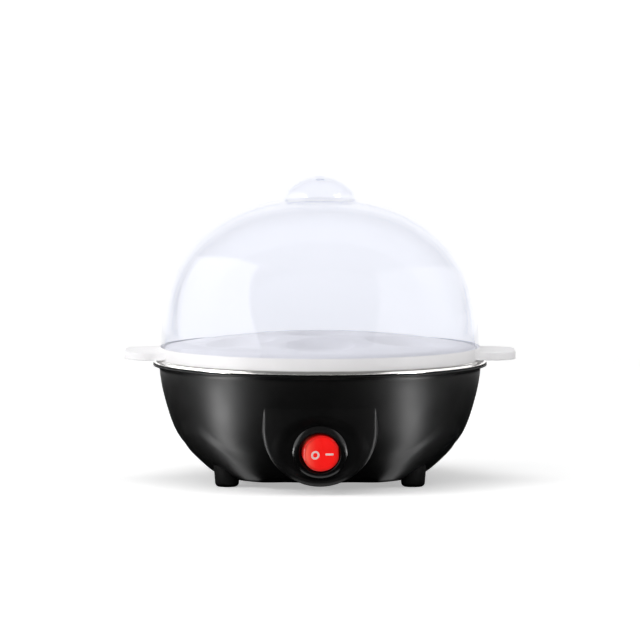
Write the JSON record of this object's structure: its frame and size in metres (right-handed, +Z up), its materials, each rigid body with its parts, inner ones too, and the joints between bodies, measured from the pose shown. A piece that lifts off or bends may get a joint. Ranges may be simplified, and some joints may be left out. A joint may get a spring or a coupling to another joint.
{
  "type": "electric egg cooker",
  "caption": "Round egg cooker: black moulded bowl on feet, steel pan and heater, white egg tray with ear handles, clear lift-off dome, round red rocker switch",
  "frame": {"origin": "on the table under the middle of the cooker", "axes": "+Z up, the switch faces -Y, the ear handles point along X"},
  "size_m": [0.1826, 0.156, 0.1434],
  "materials": {
    "housing": "moulded black plastic with a satin gloss",
    "foot": "matt black rubber",
    "tray_white": "white moulded plastic, satin",
    "clear": "clear moulded plastic with a faint cool tint",
    "pan_steel": "pressed stainless sheet",
    "steel": "plated steel",
    "brass": "plain brass",
    "heater_aluminium": "cast aluminium",
    "switch_black": "black moulded plastic",
    "rocker_red": "translucent red plastic",
    "inner_black": "black moulded plastic",
    "block_white": "off-white moulded plastic",
    "lamp_glass": "clear glass envelope",
    "wire_brown": "brown insulation",
    "wire_blue": "blue insulation",
    "wire_green": "green insulation with a yellow stripe"
  },
  "bodies": {
    "base": {"housing": "housing", "foot_left": "foot", "foot_right": "foot", "foot_rear": "foot", "heating_pan": "pan_steel", "pan_bushes": "steel", "base_screws": "steel", "cord_bushing": "inner_black", "heater_plate": "heater_aluminium", "heating_element": "heater_aluminium", "element_tabs": "steel", "thermostat": "inner_black", "thermostat_tabs": "brass", "thermostat_strap": "steel", "strap_screws": "steel", "fuse_clip": "steel", "thermal_fuse": "steel", "earth_stud": "steel", "earth_tag": "brass", "earth_nut": "steel", "terminal_block": "block_white", "block_screws": "steel", "switch_body": "switch_black", "switch_tabs": "brass", "neon_lamp": "lamp_glass", "wire_live": "wire_brown", "wire_switched": "wire_brown", "wire_fused": "wire_brown", "wire_heater": "wire_brown", "wire_lamp": "wire_blue", "wire_neutral": "wire_blue", "wire_earth": "wire_green"},
    "rocker": {"rocker": "rocker_red", "rocker_plunger": "inner_black", "rocker_spring": "steel"},
    "contact": {"contact_blade": "brass"},
    "tray": {"egg_tray": "tray_white"},
    "lid": {"lid": "clear"}
  },
  "joints": [
    {"name": "tray_lift", "type": "slide", "parent": "base", "child": "tray", "axis": [0, 0, 1], "range_m": [0, 0.12]},
    {"name": "lid_lift", "type": "slide", "parent": "tray", "child": "lid", "axis": [0, 0, 1], "range_m": [0, 0.12]},
    {"name": "rocker_tip", "type": "hinge", "parent": "base", "child": "rocker", "pos_m": [0, -0.06706, 0.02013], "axis": [0, 0.1301, -0.9915], "range_deg": [0, 20]},
    {"name": "contact_tip", "type": "hinge", "parent": "base", "child": "contact", "pos_m": [0, -0.06022, 0.02103], "axis": [0, -0.1301, 0.9915], "range_deg": [0, 14]}
  ],
  "couplings": [
    {"joint": "contact_tip", "follows": "rocker_tip", "ratio": 0.7}
  ]
}
